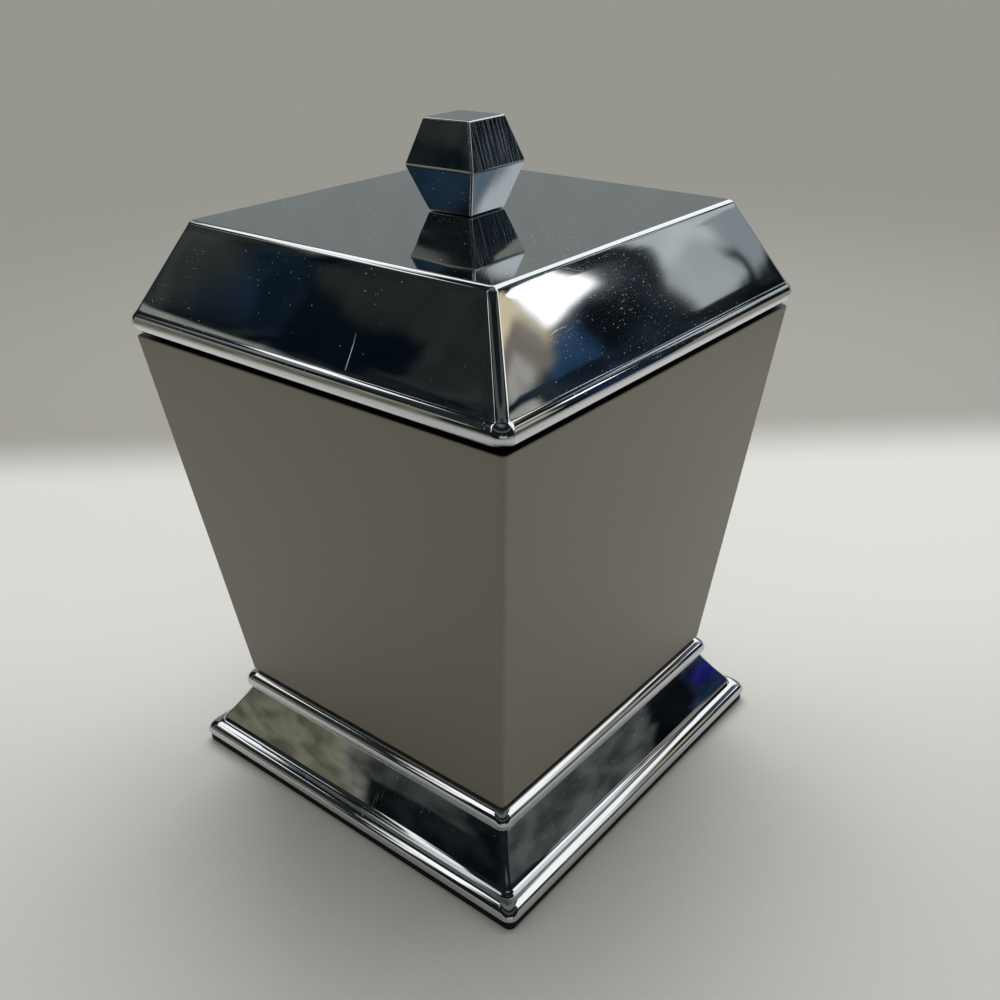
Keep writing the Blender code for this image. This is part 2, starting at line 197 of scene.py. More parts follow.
def plated(name, hairline, dust, haze, brushed=None, bulge=None, dusty=None, scored=None):
    """Bright chrome plating with hairline scratches, dust and haze, each with its strength.

    Brushed is how much the polishing streaks show, and the height at which they end. Bulge gives the lowest
    and highest point of sloping sides that swell a little between their folds, dusty the middle and radius
    of a place that gathered dust, and scored one deep scratch: its x, lowest and highest point.
    """
    material, shader = new_finish(name)
    place = add_node(material, "TexCoord").outputs["Object"]
    if bulge or brushed or scored:
        at = add_node(material, "SeparateXYZ", {0: place}).outputs

    # Polished metal is never quite flat: it waves gently, about 36 mm from crest to crest.
    wave = add_node(material, "TexNoise", {"Vector": place, "Scale": 28, "Detail": 1})
    surface = add_node(material, "Bump", {"Height": wave, "Distance": 0.0003, "Strength": 1.0})

    if bulge:
        # The sides fall away by up to 0.1 mm, within 5 mm of a hip and 3 mm of the folds above and below.
        low, high = bulge
        hip_reach, fold_reach = 0.005, 0.003
        along_x = add_node(material, "Math", {0: at["X"]}, operation="ABSOLUTE")
        along_y = add_node(material, "Math", {0: at["Y"]}, operation="ABSOLUTE")
        apart = add_node(material, "Math", {0: along_x, 1: along_y}, operation="SUBTRACT")
        from_hip = add_node(material, "Math", {0: apart}, operation="ABSOLUTE")
        folds = ((from_hip, 0.0, hip_reach, 0.4), (at["Z"], low, low + fold_reach, 1.0),
                 (at["Z"], high, high - fold_reach, 1.0))
        rolled = 0.0
        for value, fold, flat, drop in folds:
            gone = add_node(material, "MapRange", {"Value": value, "From Min": fold, "From Max": flat})
            still = add_node(material, "Math", {0: 1.0, 1: gone}, operation="SUBTRACT")
            curve = add_node(material, "Math", {0: still, 1: still}, operation="MULTIPLY")
            rolled = add_node(material, "Math", {0: curve, 1: drop, 2: rolled}, operation="MULTIPLY_ADD")
        stands = add_node(material, "Math", {0: 1.0, 1: rolled}, operation="SUBTRACT")
        swelling = add_node(material, "Math", {0: stands, 1: 0.0}, operation="MAXIMUM")
        surface = add_node(material, "Bump", {"Height": swelling, "Distance": 0.0001, "Strength": 1.0,
                                              "Normal": surface})

    # Hairline scratches run in three directions and bend by a few millimetres. Real ones are a few
    # hundredths of a millimetre wide. These are drawn coarser, 0.2 mm wide and 9 mm long, so that they show.
    bent = add_node(material, "TexNoise", {"Vector": place, "Scale": 60, "Detail": 1})
    path = add_node(material, "VectorMath", {0: bent.outputs["Color"], 1: (0.004,) * 3, 2: place},
                    operation="MULTIPLY_ADD")
    lines = 0.0
    for turn in ((0.3, 0.5, 0.9), (1.1, 0.2, 2.1), (0.7, 1.3, 0.2)):
        turned = add_node(material, "Mapping", {"Vector": path, "Rotation": turn, "Scale": (4800, 110, 110)})
        streaks = add_node(material, "TexNoise", {"Vector": turned, "Scale": 1, "Detail": 1})
        thin = add_node(material, "MapRange", {"Value": streaks, "From Min": 0.70, "From Max": 0.78})
        lines = add_node(material, "Math", {0: thin, 1: lines}, operation="MAXIMUM")

    # Handling leaves scratches, dust and haze in patches some 24 mm across, and in the dusty place.
    patches = add_node(material, "TexNoise", {"Vector": place, "Scale": 42, "Detail": 3})
    patch = add_node(material, "MapRange", {"Value": patches, "From Min": 0.47, "From Max": 0.66},
                     interpolation_type="SMOOTHSTEP")
    if dusty:
        middle, reach = dusty
        away = add_node(material, "VectorMath", {0: place, 1: middle}, operation="DISTANCE")
        close = add_node(material, "MapRange", {"Value": away, "From Min": reach, "From Max": 0.0},
                         interpolation_type="SMOOTHSTEP")
        broken = add_node(material, "MapRange", {"Value": patches, "From Min": 0.3, "From Max": 0.5})
        gathered = add_node(material, "Math", {0: close, 1: broken}, operation="MULTIPLY")
        elsewhere = add_node(material, "Math", {0: patch, 1: 0.3}, operation="MULTIPLY")
        patch = add_node(material, "Math", {0: elsewhere, 1: gathered}, operation="MAXIMUM")
    scuffed = add_node(material, "Math", {0: lines, 1: patch}, operation="MULTIPLY")

    # Dust lies in ragged specks, one at most to every half millimetre. Real dust is finer: these are drawn up
    # to 0.25 mm across, so that they show.
    ragged = add_node(material, "TexNoise", {"Vector": place, "Scale": 2600, "Detail": 1})
    scattered = add_node(material, "VectorMath", {0: ragged.outputs["Color"], 1: (0.0004,) * 3, 2: place},
                         operation="MULTIPLY_ADD")
    motes = add_node(material, "TexVoronoi", {"Vector": scattered, "Scale": 2000})
    chance = add_node(material, "SeparateColor", {"Color": motes.outputs["Color"]}).outputs
    few_large = add_node(material, "Math", {0: chance[0], 1: 2.0}, operation="POWER")
    size = add_node(material, "Math", {0: few_large, 1: 0.22, 2: 0.04}, operation="MULTIPLY_ADD")
    crowding = add_node(material, "Math", {0: patch, 1: dust, 2: dust * 0.02}, operation="MULTIPLY_ADD")
    kept = add_node(material, "Math", {0: chance[1], 1: crowding}, operation="LESS_THAN")
    inside = add_node(material, "Math", {0: size, 1: motes}, operation="SUBTRACT")
    spots = add_node(material, "MapRange", {"Value": inside, "From Min": 0.0, "From Max": 0.05})
    specks = add_node(material, "Math", {0: spots, 1: kept}, operation="MULTIPLY")
    scratches = add_node(material, "Math", {0: scuffed, 1: hairline}, operation="MULTIPLY")
    marks = add_node(material, "Math", {0: specks, 1: scratches}, operation="MAXIMUM")

    if brushed:
        # The polishing wheel left streaks on the facets of two sides. They are drawn coarser than real ones,
        # 0.28 mm wide and 11 mm long, so that they show.
        strength, end = brushed
        along_x = add_node(material, "Math", {0: at["X"]}, operation="ABSOLUTE")
        along_y = add_node(material, "Math", {0: at["Y"]}, operation="ABSOLUTE")
        across = add_node(material, "Math", {0: along_x, 1: along_y}, operation="MINIMUM")
        frontal = add_node(material, "Math", {0: at["X"], 1: at["Y"]}, operation="ADD")
        slanted = add_node(material, "CombineXYZ", {0: across, 1: frontal, 2: at["Z"]})
        drawn = add_node(material, "Mapping", {"Vector": slanted, "Scale": (3600, 90, 90)})
        streaks = add_node(material, "TexNoise", {"Vector": drawn, "Scale": 1, "Detail": 1})
        shown = add_node(material, "MapRange", {"Value": streaks, "From Min": 0.48, "From Max": 0.8})
        weakened = add_node(material, "Math", {0: shown, 1: strength}, operation="MULTIPLY")
        two_sides = add_node(material, "MapRange", {"Value": frontal, "From Min": -0.001, "From Max": 0.002})
        below_end = add_node(material, "Math", {0: at["Z"], 1: end}, operation="LESS_THAN")
        where = add_node(material, "Math", {0: two_sides, 1: below_end}, operation="MULTIPLY")
        polished = add_node(material, "Math", {0: weakened, 1: where}, operation="MULTIPLY")
        marks = add_node(material, "Math", {0: marks, 1: polished}, operation="MAXIMUM")

    if scored:
        # One deep scratch wanders by 1.5 mm to either side, 0.3 mm wide, and fades out at its upper end.
        x, low, high = scored
        sway = 0.003
        aside = add_node(material, "Math", {0: at["X"], 1: x + sway / 2}, operation="SUBTRACT")
        wander = add_node(material, "Math", {0: bent, 1: sway, 2: aside}, operation="MULTIPLY_ADD")
        off_line = add_node(material, "Math", {0: wander}, operation="ABSOLUTE")
        line = add_node(material, "MapRange", {"Value": off_line, "From Min": 0.00016, "From Max": 0.00006})
        start = add_node(material, "MapRange", {"Value": at["Z"], "From Min": low, "From Max": low + 0.0006})
        fade = add_node(material, "MapRange", {"Value": at["Z"], "From Min": high, "From Max": high - 0.003})
        run = add_node(material, "Math", {0: start, 1: fade}, operation="MULTIPLY")
        score = add_node(material, "Math", {0: line, 1: run}, operation="MULTIPLY")
        front = add_node(material, "Math", {0: at["Y"], 1: 0.0}, operation="LESS_THAN")
        deep = add_node(material, "Math", {0: score, 1: front}, operation="MULTIPLY")
        marks = add_node(material, "Math", {0: marks, 1: deep}, operation="MAXIMUM")

    # Clean plating is a clear grey mirror. Marks scatter light instead, and look pale on dark reflections.
    tint = add_node(material, "Mix", {"Factor": marks, 6: screen_colour("#cdd0d2"),
                                      7: screen_colour("#dfe6ec")}, data_type="RGBA")
    clean = add_node(material, "Math", {0: 1.0, 1: marks}, operation="SUBTRACT")
    gloss = add_node(material, "Math", {0: patch, 1: haze, 2: 0.035}, operation="MULTIPLY_ADD")
    cut = add_node(material, "Bump", {"Height": scuffed, "Distance": 0.0000014, "Normal": surface,
                                      "Strength": 1.0})
    connect(shader, {"Base Color": tint, "Metallic": clean, "Roughness": gloss, "Normal": cut})
    return material


plinth_low = 0.0028
plinth_top = 0.0227
foot_half = 0.055
foot_bead = 0.0029
foot_turn = 0.00324
quirk_half = 0.0516
quirk_drop = 0.0005
cove_foot = (0.0511, 0.0074)
cove_sag = 0.0003
collar_bead = 0.0027
collar_centre = (0.04335, 0.0194)
neck_half = 0.0449
deck_half = 0.04235
spigot_half = 0.04005
spigot_inner = 0.03845
spigot_top = 0.0267
inner_foot = 0.0521
inner_slope_foot = (0.0488, 0.0060)
inner_slope_top = (0.0399, 0.0201)
plinth_edge = 0.0003
collar_corner, cove_corner, foot_corner, inner_corner = 0.0022, 0.0006, 0.0024, 0.001

shape, end = start_outline(spigot_inner, plinth_top)
spigot_in = end = draw_to(shape, end, spigot_inner, spigot_top)
spigot_out = end = draw_to(shape, end, spigot_half, spigot_top)
end = draw_to(shape, end, spigot_half, plinth_top)
deck_edge = end = draw_to(shape, end, deck_half, plinth_top)
end = draw_to(shape, end, deck_half, collar_centre[1] + collar_bead)
end = draw_to(shape, end, collar_centre[0], collar_centre[1] + collar_bead)
neck_turn = 90 + math.degrees(math.acos((neck_half - collar_centre[0]) / collar_bead))
end = draw_round(shape, end, *collar_centre, neck_turn)
ease(shape, [spigot_in, spigot_out, deck_edge], plinth_edge)
mark_corner(shape, collar_corner)
neck = end.co.copy()
cove_run = Vector((cove_foot[0], 0, cove_foot[1])) - neck
cove_radius = (cove_run.length / 2) ** 2 / (2 * cove_sag) + cove_sag / 2
outward = Vector((-cove_run.z, 0, cove_run.x)).normalized()
cove_centre = (neck + neck + cove_run) / 2 + outward * (cove_radius - cove_sag)
cove_turn = math.degrees(2 * math.asin(cove_run.length / 2 / cove_radius))
end = draw_round(shape, end, cove_centre.x, cove_centre.z, -cove_turn, fineness=2)
mark_corner(shape, cove_corner)
foot_of_cove = end
end = draw_to(shape, end, quirk_half, cove_foot[1] - quirk_drop)
foot_start = math.sqrt(foot_bead ** 2 - (foot_half - foot_bead - quirk_half) ** 2)
end = draw_to(shape, end, quirk_half, foot_turn + foot_start)
end = draw_round(shape, end, foot_half - foot_bead, foot_turn,
                 90 + math.degrees(math.acos(foot_start / foot_bead)))
foot_edge = end = draw_to(shape, end, foot_half, plinth_low)
end = draw_to(shape, end, inner_foot, plinth_low)
ease(shape, [foot_of_cove, foot_edge], plinth_edge)
mark_corner(shape, foot_corner)
end = draw_to(shape, end, inner_foot, foot_turn)
end = draw_to(shape, end, *inner_slope_foot)
draw_to(shape, end, *inner_slope_top)
mark_corner(shape, inner_corner)
plinth_chrome = plated("bright chrome on the plinth", hairline=0.2, dust=0.1, haze=0.01)
plinth = carry_round("chrome_plinth", shape, plinth_chrome)
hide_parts("base_plinth")
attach(plinth, "jar")


# Plinth screws
# Four zinc-plated pan-head screws hold the plinth to the bosses under the body's floor. They are plain
# turned steel, hidden between the deck and the foam pad, and seen only when the jar is taken apart.

# Zinc has a bloom in clouds about 1 mm across, so it glints in some places and is dull in others.
zinc, zinc_shader = new_finish("zinc plated steel", {"Metallic": 1.0, "Roughness": 0.32})
place = add_node(zinc, "TexCoord").outputs["Object"]
bloom = add_node(zinc, "TexNoise", {"Vector": place, "Scale": 900, "Detail": 3})
shade = add_node(zinc, "Mix", {"Factor": bloom, 6: screen_colour("#a9adb0"), 7: screen_colour("#d2d3cd")},
                 data_type="RGBA")
dull = add_node(zinc, "MapRange", {"Value": bloom, "To Min": 0.25, "To Max": 0.45})
connect(zinc_shader, {"Base Color": shade, "Roughness": dull})
for name in ("plinth_screw_1", "plinth_screw_2", "plinth_screw_3", "plinth_screw_4", "knob_screw",
             "knob_washer"):
    for material_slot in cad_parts[name].material_slots:
        material_slot.material = zinc


# Body
# A tapering square vessel, moulded in black resin with a raised floor, then sprayed inside and out with a
# taupe satin lacquer, which leaves a faint orange peel. The top of the lip is painted black as shade in the
# gap under the lid.
body_low = 0.0230
body_top = 0.1189
foot_outer = 0.04395
mouth_outer = 0.055
wall = 0.0035
floor_top = 0.0346
floor_low = 0.0320
floor_margin = 0.003
floor_round = 0.002
lip_round = 0.0006
outer_round = 0.0004
gap_shade_edge = 0.0001
body_corner, hollow_corner = 0.0007, 0.003
taper = (mouth_outer - foot_outer) / (body_top - body_low)
floor_inner = foot_outer - wall + taper * (floor_top - body_low)

shape, end = start_outline(floor_inner - floor_margin, floor_top)
floor_edge = end = draw_to(shape, end, floor_inner, floor_top)
inner_lip = end = draw_to(shape, end, mouth_outer - wall, body_top)
ease(shape, [floor_edge], floor_round, segments=6)
mark_corner(shape, hollow_corner)
outer_lip = end = draw_to(shape, end, mouth_outer, body_top)
body_foot = end = draw_to(shape, end, foot_outer, body_low)
end = draw_to(shape, end, foot_outer - wall, body_low)
draw_to(shape, end, foot_outer - wall + taper * (floor_low - body_low), floor_low)
ease(shape, [inner_lip], lip_round)
ease(shape, [outer_lip, body_foot], outer_round)
mark_corner(shape, body_corner)

# The satin lacquer gives the eye a soft taupe with a broad, dim shine: clouds some 33 mm across where more
# or less was sprayed, an orange peel of about 1 mm, and the grains that make it satin, drawn coarser than
# real, at 0.2 mm, so that they show. The top of the lip is painted near black: painted shade for the gap
# under the lid.
lacquer, lacquer_shader = new_finish("taupe satin lacquer")
place = add_node(lacquer, "TexCoord").outputs["Object"]
cloud = add_node(lacquer, "TexNoise", {"Vector": place, "Scale": 30, "Detail": 4})
peel = add_node(lacquer, "TexNoise", {"Vector": place, "Scale": 900, "Detail": 2})
grains = add_node(lacquer, "TexNoise", {"Vector": place, "Scale": 4500, "Detail": 1})
shade = add_node(lacquer, "Mix", {"Factor": cloud, 6: screen_colour("#797468"), 7: screen_colour("#7e796d")},
                 data_type="RGBA")
speckled = add_node(lacquer, "Mix", {"Factor": grains, 6: shade, 7: screen_colour("#878275")},
                    data_type="RGBA")
height = add_node(lacquer, "SeparateXYZ", {0: place}).outputs["Z"]
# Painted shade: the lip's top face is painted near black, standing in for the shadow in the gap under the
# lid's rim.
painted_gap_shade = add_node(lacquer, "MapRange", {"Value": height, "From Min": body_top - gap_shade_edge,
                                        "From Max": body_top - gap_shade_edge / 2})
lacquer_and_gap_shade = add_node(lacquer, "Mix", {"Factor": painted_gap_shade, 6: speckled, 7: screen_colour("#0c0c0c")},
                   data_type="RGBA")
sheen = add_node(lacquer, "MapRange", {"Value": cloud, "To Min": 0.38, "To Max": 0.47})
orange_peel = add_node(lacquer, "Bump", {"Height": peel, "Distance": 0.00002, "Strength": 0.6})
connect(lacquer_shader, {"Base Color": lacquer_and_gap_shade, "Roughness": sheen, "Normal": orange_peel})
body = carry_round("lacquered_body", shape, lacquer)
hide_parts("body_shell")
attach(body, "jar")


# Lid liner and gasket
# The liner is moulded in black ABS and closes the cover from below; its skirt finds the body's mouth. A
# thin ring of black rubber lies round the skirt, so that the chrome rim doesn't knock on the lacquer.

# The mould's spark grain breaks a highlight into points. It is drawn coarser than real, at 0.45 mm, so that
# it shows.
plastic, plastic_shader = new_finish("black moulded ABS", {"Roughness": 0.45})
place = add_node(plastic, "TexCoord").outputs["Object"]
spark = add_node(plastic, "TexNoise", {"Vector": place, "Scale": 2200, "Detail": 2})
shade = add_node(plastic, "Mix", {"Factor": spark, 6: screen_colour("#1a1a1b"), 7: screen_colour("#2a2a2b")},
                 data_type="RGBA")
grain = add_node(plastic, "Bump", {"Height": spark, "Distance": 0.00004, "Strength": 0.5})
connect(plastic_shader, {"Base Color": shade, "Normal": grain})
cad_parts["lid_liner"].material_slots[0].material = plastic

# Rubber is matt and nearly black, with a trace of chalk from the mould in clouds of 2.5 mm.
rubber, rubber_shader = new_finish("black rubber", {"Roughness": 0.75})
place = add_node(rubber, "TexCoord").outputs["Object"]
chalk = add_node(rubber, "TexNoise", {"Vector": place, "Scale": 400, "Detail": 3})
shade = add_node(rubber, "Mix", {"Factor": chalk, 6: screen_colour("#0c0c0d"), 7: screen_colour("#1c1c1d")},
                 data_type="RGBA")
connect(rubber_shader, {"Base Color": shade})
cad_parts["lid_gasket"].material_slots[0].material = rubber


# Lid cover
# Pressed and rolled from sheet, then polished and chrome plated: a flat top, four sloping sides with soft
# hips and a rolled rim. Fingers have left hairline scratches and dust on it.
cover_low = 0.1194
cover_top = 0.1448
rim_half = 0.056
rim_bead = 0.003
cover_top_half = 0.0439
top_margin = 0.006
shoulder_round = 0.00095
ridge_angle = 60
inner_rim = (0.0528, 0.1244)
inner_top = (0.0428, 0.143)
hip_corner, rim_corner, inner_corner = 0.0003, 0.003, 0.0012
dusty_place = ((0.05, -0.01, 0.135), 0.042)  # its middle and its radius
deep_scratch = (0.0149, 0.1256, 0.1327)  # its x, lowest and highest point
rim_centre = (rim_half - rim_bead, cover_low + rim_bead)
ridge = (rim_centre[0] + rim_bead * math.cos(math.radians(ridge_angle)),
         rim_centre[1] + rim_bead * math.sin(math.radians(ridge_angle)))

shape, end = start_outline(cover_top_half - top_margin, cover_top)
shoulder = end = draw_to(shape, end, cover_top_half, cover_top)
end = draw_to(shape, end, *ridge)
ease(shape, [shoulder], shoulder_round, segments=8)
mark_corner(shape, hip_corner)
end = draw_round(shape, end, *rim_centre, ridge_angle + 90, fineness=5)
mark_corner(shape, rim_corner)
end = draw_to(shape, end, inner_rim[0], cover_low)
end = draw_to(shape, end, *inner_rim)
draw_to(shape, end, *inner_top)
mark_corner(shape, inner_corner)
lid_chrome = plated("bright chrome on the lid", hairline=0.07, dust=1.0, haze=0.03,
                    bulge=(ridge[1], cover_top), dusty=dusty_place, scored=deep_scratch)
cover = carry_round("chrome_lid", shape, lid_chrome)
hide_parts("lid_cover")
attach(cover, "lid")


# Knob
# Two square frustums on a common waist, machined from one solid block, polished and chrome plated, with
# streaks from the polishing wheel. It is drawn down on the lid by the screw from below, and has settled two
# degrees out of square.
knob_low = 0.1449
knob_waist = 0.1551
knob_top = 0.165
knob_halves = (0.0061, 0.0096, 0.0064)
knob_turn = 2
knob_edge = 0.0004

shape = bmesh.new()
foot_radius, waist_radius, top_radius = (half * math.sqrt(2) for half in knob_halves)
bmesh.ops.create_cone(shape, cap_ends=True, segments=4, radius1=foot_radius, radius2=waist_radius,
                      depth=knob_waist - knob_low)
bmesh.ops.translate(shape, verts=shape.verts, vec=(0, 0, (knob_low + knob_waist) / 2))
upper_face = max(shape.faces, key=lambda face: face.normal.z)
raised = bmesh.ops.extrude_discrete_faces(shape, faces=[upper_face])["faces"][0]
bmesh.ops.scale(shape, verts=raised.verts, vec=(top_radius / waist_radius, top_radius / waist_radius, 1))
bmesh.ops.translate(shape, verts=raised.verts, vec=(0, 0, knob_top - knob_waist))
bmesh.ops.rotate(shape, verts=shape.verts, matrix=Matrix.Rotation(math.radians(45 + knob_turn), 3, "Z"))
bmesh.ops.recalc_face_normals(shape, faces=shape.faces)
bmesh.ops.bevel(shape, geom=shape.edges[:], affect="EDGES", offset=knob_edge, segments=5, profile=0.5,
                material=-1)
knob_chrome = plated("bright chrome on the knob", hairline=0.1, dust=0.04, haze=0.02,
                     brushed=(0.42, knob_top - knob_edge))
knob = finished_mesh("faceted_knob", shape, knob_chrome, sharp_from=40)
flat_facets = knob.modifiers.new("facets stay flat", "WEIGHTED_NORMAL")
flat_facets.keep_sharp = True
flat_facets.weight = 100
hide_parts("lid_knob")
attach(knob, "lid")


# Floor
# The jar stands on a pale quartz counter, which is the plain floor of the picture and the lower half of
# what the chrome mirrors. It turns to the backdrop's grey where the wall stands behind the jar, and far off.
to_wall = (-0.66, 0.75, 0)
painted_light_from, painted_light_to = -0.07, 0.07
wall_from, wall_to = 0.155, 0.213
around_from, around_to = 0.26, 0.45
haze_from, haze_to = 0.3, 0.8
backdrop_grey = screen_colour("#98978f")
floor_radius = 2.4

# Polished quartz resin: flecks 1.4 mm across, a soft shine, painted light behind the jar, painted shade in
# front.
quartz, quartz_shader = new_finish("pale quartz", {"Roughness": 0.45, "Specular IOR Level": 0.2})
place = add_node(quartz, "TexCoord").outputs["Object"]
fleck = add_node(quartz, "TexNoise", {"Vector": place, "Scale": 700, "Detail": 2})
near = add_node(quartz, "Mix", {"Factor": fleck, 6: screen_colour("#d2d3d1"), 7: screen_colour("#d7d8d6")},
                data_type="RGBA")
behind = add_node(quartz, "VectorMath", {0: place, 1: to_wall}, operation="DOT_PRODUCT")
# Painted light and shade: the counter is painted paler on the wall's side of the jar and darker towards the
# camera.
painted_light_behind = add_node(quartz, "MapRange", {"Value": behind, "From Min": painted_light_from, "From Max": painted_light_to},
                 interpolation_type="SMOOTHSTEP")
counter = add_node(quartz, "Mix", {"Factor": painted_light_behind, 6: near, 7: screen_colour("#e8e9e7")}, data_type="RGBA")
away = add_node(quartz, "VectorMath", {0: place}, operation="LENGTH")
around = add_node(quartz, "MapRange", {"Value": away, "From Min": around_from, "From Max": around_to},
                  interpolation_type="SMOOTHSTEP")
wallward = add_node(quartz, "MapRange", {"Value": behind, "From Min": wall_from, "From Max": wall_to},
                    interpolation_type="SMOOTHSTEP")
far = add_node(quartz, "Math", {0: around, 1: wallward}, operation="MAXIMUM")
sweep = add_node(quartz, "Mix", {"Factor": far, 6: counter, 7: screen_colour("#a9a8a3")}, data_type="RGBA")
connect(quartz_shader, {"Base Color": sweep})
# Far off it takes the backdrop's grey whatever the light, so that its edge isn't seen.
haze = add_node(quartz, "Emission", {"Color": backdrop_grey})
fading = add_node(quartz, "MapRange", {"Value": away, "From Min": haze_from, "From Max": haze_to},
                  interpolation_type="SMOOTHSTEP")
faded = add_node(quartz, "MixShader", {0: fading, 1: quartz_shader, 2: haze})
connect(quartz.node_tree.nodes["Material Output"], {"Surface": faded})
shape = bmesh.new()
bmesh.ops.create_circle(shape, cap_ends=True, segments=96, radius=floor_radius)
floor = finished_mesh("floor", shape, quartz)


# Room
# What polished metal mirrors above the counter: a grey stone wall behind, a dark room in front with a
# bright window on its right, strips of light under the ceiling, and things that stand low on the counter.
# All of it is seen by mirrored rays only.
def glowing(name):
    """An empty material, for something that shines by itself."""
    material = bpy.data.materials.new(name)
    material.use_nodes = True
    material.node_tree.nodes.clear()
    return material


def bearings(material, eye):
    """The turn and rise in radians at which a point is seen from a height, a little uneven, and a mottle."""
    wobble = 0.06
    place = add_node(material, "TexCoord").outputs["Object"]
    sight = add_node(material, "VectorMath", {0: place, 1: (0, 0, eye)}, operation="SUBTRACT")
    straight = add_node(material, "VectorMath", {0: sight}, operation="NORMALIZE")
    blot = add_node(material, "TexNoise", {"Vector": straight, "Scale": 9, "Detail": 4})
    uneven = add_node(material, "VectorMath", {0: blot.outputs["Color"], 1: (wobble,) * 3, 2: straight},
                      operation="MULTIPLY_ADD")
    aim = add_node(material, "VectorMath", {0: uneven, 1: (wobble / 2,) * 3}, operation="SUBTRACT")
    parts = add_node(material, "SeparateXYZ", {0: aim}).outputs
    turn = add_node(material, "Math", {0: parts["Y"], 1: parts["X"]}, operation="ARCTAN2")
    rise = add_node(material, "Math", {0: parts["Z"]}, operation="ARCSINE")
    streak = add_node(material, "Mapping", {"Vector": straight, "Scale": (30, 30, 9)})
    grain = add_node(material, "TexNoise", {"Vector": streak, "Scale": 1, "Detail": 4})
    mottle = add_node(material, "MapRange", {"Value": grain, "From Min": 0.38, "From Max": 0.62})
    return turn, rise, mottle


def between(material, value, low, high, soft):
    """One between two angles in degrees, falling to nought over a soft margin."""
    low, high, soft = (math.radians(angle) for angle in (low, high, soft))
    above = add_node(material, "MapRange", {"Value": value, "From Min": low - soft, "From Max": low + soft},
                     interpolation_type="SMOOTHSTEP")
    below = add_node(material, "MapRange", {"Value": value, "From Min": high + soft, "From Max": high - soft},
                     interpolation_type="SMOOTHSTEP")
    return add_node(material, "Math", {0: above, 1: below}, operation="MULTIPLY")


def paint(material, eye, base, patches):
    """Paints patches over a mottled base, seen from a height, the later ones over the earlier ones.

    A patch has its two colours and their brightness, its turns and rises in degrees, and its margin. A rise
    of -9 lies below the counter, so a patch that starts there stands on it.
    """
    turn, rise, mottle = bearings(material, eye)
    view = add_node(material, "Mix", {"Factor": mottle, 6: screen_colour(base[0]), 7: screen_colour(base[1])},
                    data_type="RGBA")
    for low_colour, high_colour, strength, turns, rises, soft in patches:
        dark, light = ([level * strength for level in screen_colour(colour)[:3]] + [1]
                       for colour in (low_colour, high_colour))
        shade = add_node(material, "Mix", {"Factor": mottle, 6: dark, 7: light}, data_type="RGBA")
        patch = add_node(material, "Math", {0: between(material, turn, *turns, soft),
                                            1: between(material, rise, *rises, soft)}, operation="MULTIPLY")
        view = add_node(material, "Mix", {"Factor": patch, 6: view, 7: shade}, data_type="RGBA")
    glow = add_node(material, "Emission", {"Color": view})
    add_node(material, "OutputMaterial", {"Surface": glow})


def bent_screen(name, material, radius, first, last, foot, tall):
    """An upright screen bent round the jar, from a first to a last angle in degrees."""
    shape = bmesh.new()
    start = math.radians(first)
    base = shape.verts.new((radius * math.cos(start), radius * math.sin(start), foot))
    upright = bmesh.ops.extrude_vert_indiv(shape, verts=[base])
    bmesh.ops.translate(shape, verts=upright["verts"], vec=(0, 0, tall))
    bmesh.ops.spin(shape, geom=shape.verts[:] + shape.edges[:], cent=(0, 0, 0), axis=(0, 0, 1),
                   angle=math.radians(last - first), steps=24)
    return finished_mesh(name, shape, material)


dome_radius = 2.5
card_radius = 0.6
card_foot = 0.001
card_eye = 0.012

